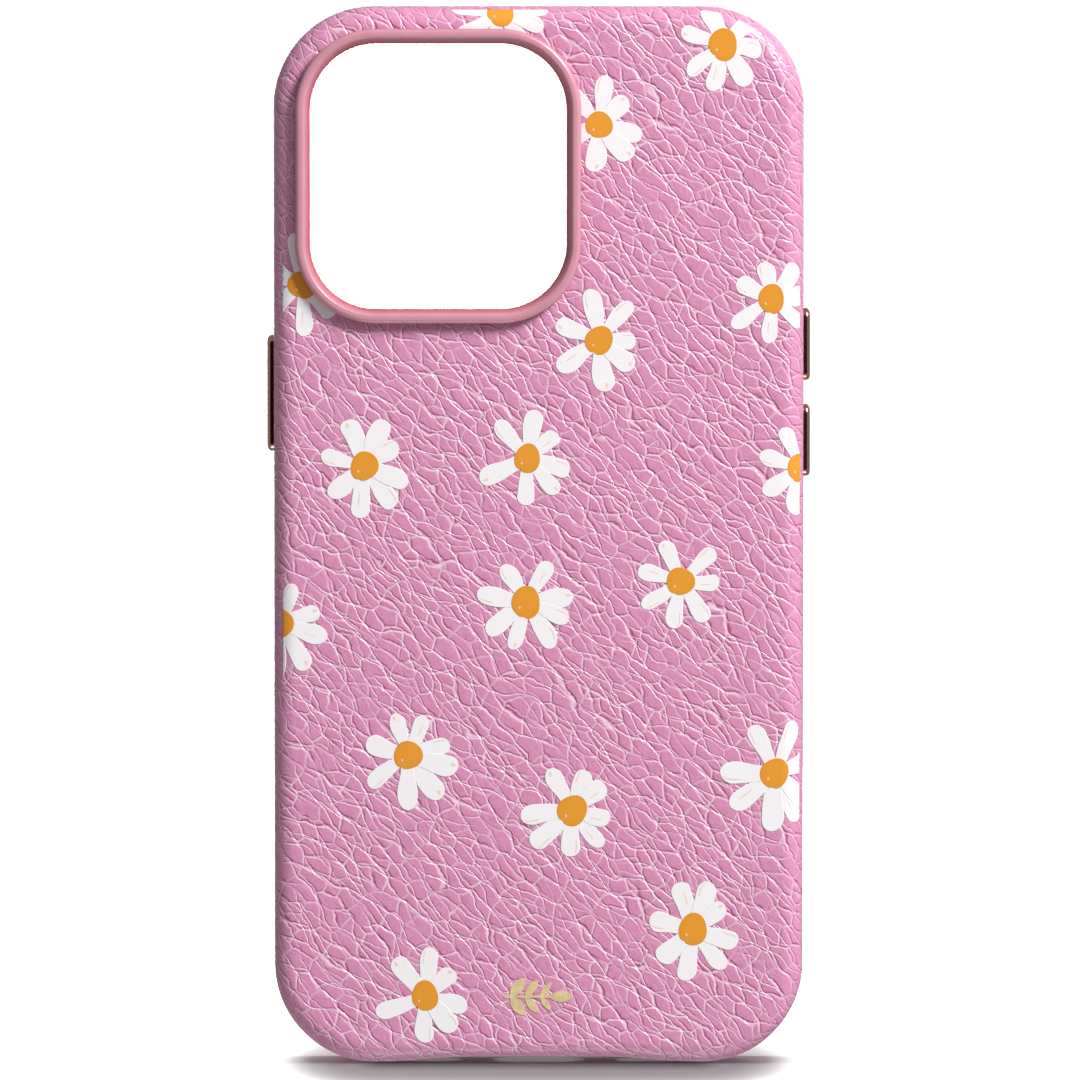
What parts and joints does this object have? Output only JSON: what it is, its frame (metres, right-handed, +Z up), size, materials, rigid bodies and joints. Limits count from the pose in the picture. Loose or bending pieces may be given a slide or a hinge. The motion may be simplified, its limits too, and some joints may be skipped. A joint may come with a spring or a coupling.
{
  "type": "phone case",
  "caption": "Leather-covered phone case with a raised camera ring, a soft front rim, sprung side buttons and openings for the port, the sound and the ring switch.",
  "frame": {"origin": "on the surface the case stands on, under the middle of its width and of its depth", "axes": "+Z up the case's height, leather back facing -Y, open front facing +Y, +X to the right seen from behind"},
  "size_m": [0.0776, 0.0128, 0.1507],
  "materials": {
    "leather": "pebbled grain, satin, printed with daisies",
    "shell_plastic": "fine matt mould texture",
    "rim_elastomer": "soft satin",
    "microfibre": "short brushed pile",
    "ring_enamel": "satin enamel",
    "gasket_foam": "closed foam",
    "retainer_plastic": "fine matt mould texture",
    "gold_foil": "stamped foil",
    "rose_gold": "polished",
    "pad_silicone": "matt",
    "spring_silicone": "matt",
    "plate_steel": "brushed"
  },
  "bodies": {
    "case": {"leather_cover": "leather", "shell": "shell_plastic", "rim_bumper": "rim_elastomer", "back_lining": "microfibre", "camera_ring": "ring_enamel", "camera_gasket": "gasket_foam", "camera_retainer": "retainer_plastic", "foil_sprig": "gold_foil", "power_spring": "spring_silicone", "power_retainer": "plate_steel", "volume_up_spring": "spring_silicone", "volume_up_retainer": "plate_steel", "volume_down_spring": "spring_silicone", "volume_down_retainer": "plate_steel"},
    "power_button": {"power_cap": "rose_gold", "power_pad": "pad_silicone"},
    "volume_up_button": {"volume_up_cap": "rose_gold", "volume_up_pad": "pad_silicone"},
    "volume_down_button": {"volume_down_cap": "rose_gold", "volume_down_pad": "pad_silicone"}
  },
  "joints": [
    {"name": "power_press", "type": "slide", "parent": "case", "child": "power_button", "axis": [1, 0, 0], "range_m": [0, 0.0003], "stiffness_N_per_m": 3000, "deforming": ["power_spring"]},
    {"name": "volume_up_press", "type": "slide", "parent": "case", "child": "volume_up_button", "axis": [-1, 0, 0], "range_m": [0, 0.0003], "stiffness_N_per_m": 3000, "deforming": ["volume_up_spring"]},
    {"name": "volume_down_press", "type": "slide", "parent": "case", "child": "volume_down_button", "axis": [-1, 0, 0], "range_m": [0, 0.0003], "stiffness_N_per_m": 3000, "deforming": ["volume_down_spring"]}
  ]
}
